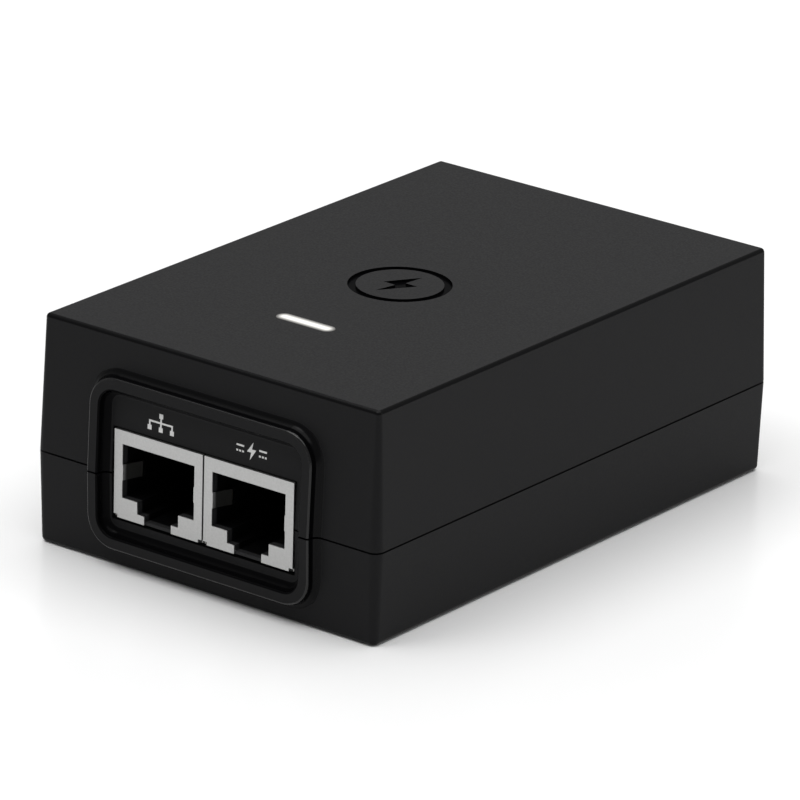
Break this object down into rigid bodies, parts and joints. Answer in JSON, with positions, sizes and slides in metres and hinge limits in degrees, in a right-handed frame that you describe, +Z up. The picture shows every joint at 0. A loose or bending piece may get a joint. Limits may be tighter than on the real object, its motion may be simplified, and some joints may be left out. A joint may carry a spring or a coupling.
{
  "type": "power over ethernet injector",
  "caption": "Black plastic box that feeds power into a network cable: screened sockets in a raised frame at the front, light bar on top, mains inlet at the rear, wall bracket below.",
  "frame": {"origin": "middle of the footprint, socket frame included, on the surface that the case stands on", "axes": "+Z up, sockets face -Y, mains inlet faces +Y, +X to the right as seen from the socket side"},
  "size_m": [0.057, 0.0876, 0.032],
  "materials": {
    "case_plastic": "fine moulded grain, matt black",
    "bracket_plastic": "moulded, matt dark grey",
    "light_guide": "clear moulded guide, lit white",
    "label_film": "silver-grey printed film, blank",
    "shield_metal": "satin nickel plate",
    "insert_plastic": "glass-filled, moulded black",
    "print_ink": "pad-printed white ink",
    "contact_gold": "gold plate",
    "tin_plate": "bright tin plate",
    "board_laminate": "green solder mask on glass laminate",
    "screw_steel": "zinc plated",
    "insulation_film": "thin translucent film",
    "lamp_package": "cast lens",
    "inlet_plastic": "moulded black",
    "fuse_plastic": "moulded cap",
    "varistor_coat": "dipped coating",
    "thermistor_coat": "dipped coating",
    "film_capacitor_box": "moulded box",
    "ferrite": "sintered, matt",
    "copper_wire": "enamelled winding wire",
    "winding_tape": "wrapped film tape",
    "package_epoxy": "moulded epoxy",
    "coupler_epoxy": "moulded white epoxy",
    "capacitor_sleeve": "shrunk sleeve",
    "sink_aluminium": "stamped plate"
  },
  "bodies": {
    "case": {"top_cover": "case_plastic", "base_tray": "case_plastic", "light_pipe": "light_guide", "rating_label": "label_film", "lan_jack_shield": "shield_metal", "lan_jack_insert": "insert_plastic", "lan_solder_pins": "tin_plate", "poe_jack_shield": "shield_metal", "poe_jack_insert": "insert_plastic", "poe_solder_pins": "tin_plate", "circuit_board": "board_laminate", "board_screws": "screw_steel", "insulation_sheet": "insulation_film", "indicator_led": "lamp_package", "inlet_housing": "inlet_plastic", "inlet_pins": "tin_plate", "mains_fuse": "fuse_plastic", "surge_varistor": "varistor_coat", "inrush_thermistor": "thermistor_coat", "suppression_capacitor": "film_capacitor_box", "line_choke_core": "ferrite", "line_choke_windings": "copper_wire", "bridge_rectifier": "package_epoxy", "bulk_capacitor": "capacitor_sleeve", "switching_transistor": "package_epoxy", "primary_heat_sink": "sink_aluminium", "transformer_core": "ferrite", "transformer_bobbin": "insert_plastic", "transformer_windings": "winding_tape", "isolation_capacitor": "varistor_coat", "feedback_coupler": "coupler_epoxy", "controller_chip": "package_epoxy", "output_rectifier": "package_epoxy", "secondary_heat_sink": "sink_aluminium", "heat_sink_screws": "screw_steel", "output_capacitors": "capacitor_sleeve", "output_choke": "ferrite", "network_transformer": "package_epoxy"},
    "bracket": {"wall_bracket": "bracket_plastic"},
    "lan_contacts": {"lan_contact_springs": "contact_gold"},
    "poe_contacts": {"poe_contact_springs": "contact_gold"}
  },
  "joints": [
    {"name": "bracket_slide", "type": "slide", "parent": "case", "child": "bracket", "axis": [0, 1, 0], "range_m": [0, 0.05]},
    {"name": "lan_contacts_press", "type": "hinge", "parent": "case", "child": "lan_contacts", "pos_m": [-0.00755, -0.03915, 0.01795], "axis": [1, 0, 0], "range_deg": [0, 12], "stiffness_Nm_per_rad": 0.002},
    {"name": "poe_contacts_press", "type": "hinge", "parent": "case", "child": "poe_contacts", "pos_m": [0.00755, -0.03915, 0.01795], "axis": [1, 0, 0], "range_deg": [0, 12], "stiffness_Nm_per_rad": 0.002}
  ]
}
